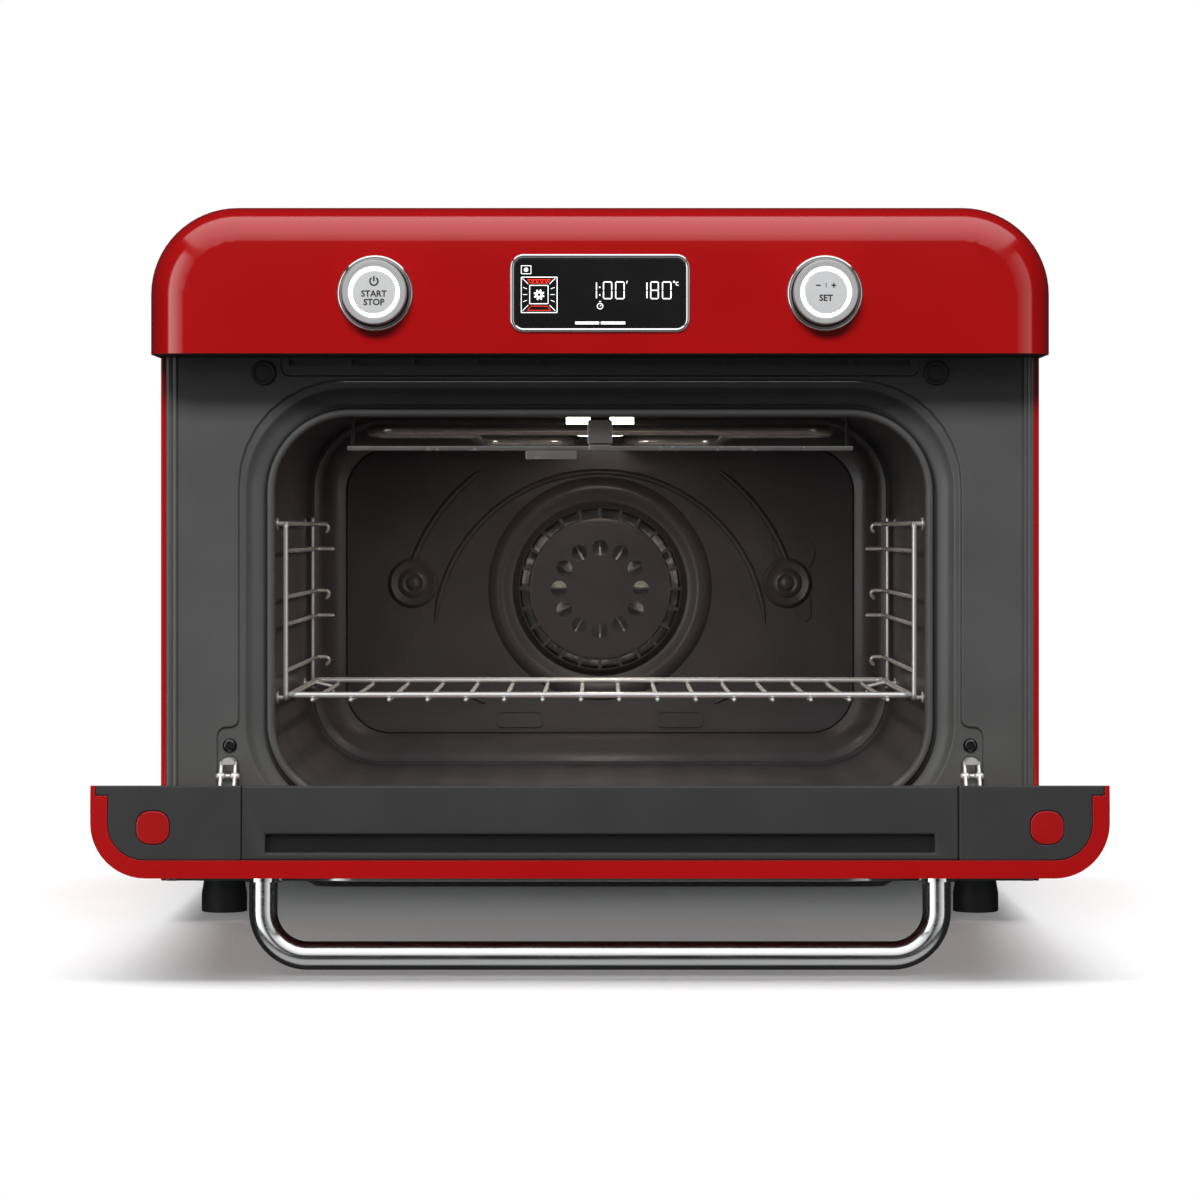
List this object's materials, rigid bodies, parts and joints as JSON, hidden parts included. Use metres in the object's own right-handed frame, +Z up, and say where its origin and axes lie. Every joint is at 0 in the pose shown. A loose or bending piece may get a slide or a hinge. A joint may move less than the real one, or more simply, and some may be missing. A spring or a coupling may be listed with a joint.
{
  "type": "countertop steam oven",
  "caption": "Countertop steam oven with a red rounded hood, drop-down door, bar handle, push-and-turn knobs, display and a wire shelf in an enamelled cavity.",
  "frame": {"origin": "on the worktop, under the middle of the whole oven with its door open", "axes": "+X to the oven's right as seen from the front, +Y to the rear, +Z up"},
  "size_m": [0.495, 0.6964, 0.396],
  "materials": {
    "red_enamel": "high gloss red enamel",
    "grey_enamel": "semi-matt dark grey enamel",
    "cavity_enamel": "speckled dark vitreous enamel",
    "zinc_sheet": "zinc-plated sheet",
    "steel": "drawn stainless steel",
    "chrome": "polished chrome plate",
    "satin_metal": "satin, spun",
    "dark_plastic": "fine moulded texture",
    "red_plastic": "moulded gloss",
    "light_plastic": "moulded satin",
    "rubber": "moulded",
    "display_black": "black printed glass",
    "clear_glass": "toughened clear",
    "tank_plastic": "clear smoky",
    "board_green": "solder mask",
    "blanket": "mineral wool",
    "heater_steel": "oxidised steel"
  },
  "bodies": {
    "case": {"hood": "red_enamel", "hood_floor": "dark_plastic", "side_panels": "red_enamel", "rear_panel": "grey_enamel", "base_pan": "zinc_sheet", "feet": "rubber", "case_screws": "steel", "front_frame": "grey_enamel", "cavity_liner": "cavity_enamel", "door_seal": "rubber", "door_bumpers": "rubber", "side_racks": "chrome", "grill_element": "heater_steel", "grill_bracket": "steel", "lamp_lens": "clear_glass", "lamp_holder": "zinc_sheet", "bottom_heater": "heater_steel", "hinge_arms": "steel", "hinge_pins": "steel", "front_screws": "steel", "insulation": "blanket", "fan_cover": "cavity_enamel", "fan_housing": "zinc_sheet", "ring_heater": "heater_steel", "fan_motors": "zinc_sheet", "air_duct": "zinc_sheet", "blower_housing": "dark_plastic", "tank_bay": "dark_plastic", "water_pump": "dark_plastic", "steam_boiler": "steel", "water_pipes": "light_plastic", "power_electrics": "board_green", "cord_gland": "dark_plastic", "display_bezel": "chrome", "display_glass": "display_black", "control_board": "board_green", "knob_rings": "chrome", "encoders": "dark_plastic", "light_rings": "light_plastic"},
    "door": {"door_skin": "red_enamel", "door_inner_panel": "grey_enamel", "door_cap_centre": "dark_plastic", "door_cap_ends": "dark_plastic", "door_plugs": "red_plastic", "door_panes": "clear_glass", "outer_window": "clear_glass", "window_trim": "chrome", "pane_spacers": "zinc_sheet", "door_handle": "chrome", "handle_fixings": "chrome", "hinge_leaves": "steel"},
    "shelf": {"wire_shelf": "chrome"},
    "convection_fan": {"convection_fan": "steel"},
    "cooling_fan": {"cooling_fan": "dark_plastic"},
    "start_dial": {"start_dial": "satin_metal"},
    "set_dial": {"set_dial": "satin_metal"},
    "start_button": {"start_button": "light_plastic"},
    "set_button": {"set_button": "light_plastic"},
    "water_tank": {"water_tank": "tank_plastic", "tank_lid": "red_plastic"}
  },
  "joints": [
    {"name": "door_hinge", "type": "hinge", "parent": "case", "child": "door", "pos_m": [0, -0.0818, 0.046], "axis": [1, 0, 0], "range_deg": [-86, 0]},
    {"name": "shelf_slide", "type": "slide", "parent": "case", "child": "shelf", "axis": [0, -1, 0], "range_m": [0, 0.2]},
    {"name": "convection_fan_spin", "type": "hinge", "parent": "case", "child": "convection_fan", "pos_m": [0, 0.2762, 0.181], "axis": [0, 1, 0], "continuous": true},
    {"name": "cooling_fan_spin", "type": "hinge", "parent": "case", "child": "cooling_fan", "pos_m": [-0.07, 0.1912, 0.32], "axis": [0, 0, 1], "continuous": true},
    {"name": "start_dial_turn", "type": "hinge", "parent": "case", "child": "start_dial", "pos_m": [-0.1229, -0.0988, 0.3478], "axis": [0, -1, 0], "continuous": true},
    {"name": "set_dial_turn", "type": "hinge", "parent": "case", "child": "set_dial", "pos_m": [0.1229, -0.0988, 0.3478], "axis": [0, -1, 0], "continuous": true},
    {"name": "start_button_push", "type": "slide", "parent": "case", "child": "start_button", "axis": [0, 1, 0], "range_m": [0, 0.0015], "stiffness_N_per_m": 400},
    {"name": "set_button_push", "type": "slide", "parent": "case", "child": "set_button", "axis": [0, 1, 0], "range_m": [0, 0.0015], "stiffness_N_per_m": 400},
    {"name": "tank_lift", "type": "slide", "parent": "case", "child": "water_tank", "axis": [0, 0, 1], "range_m": [0, 0.09]}
  ]
}
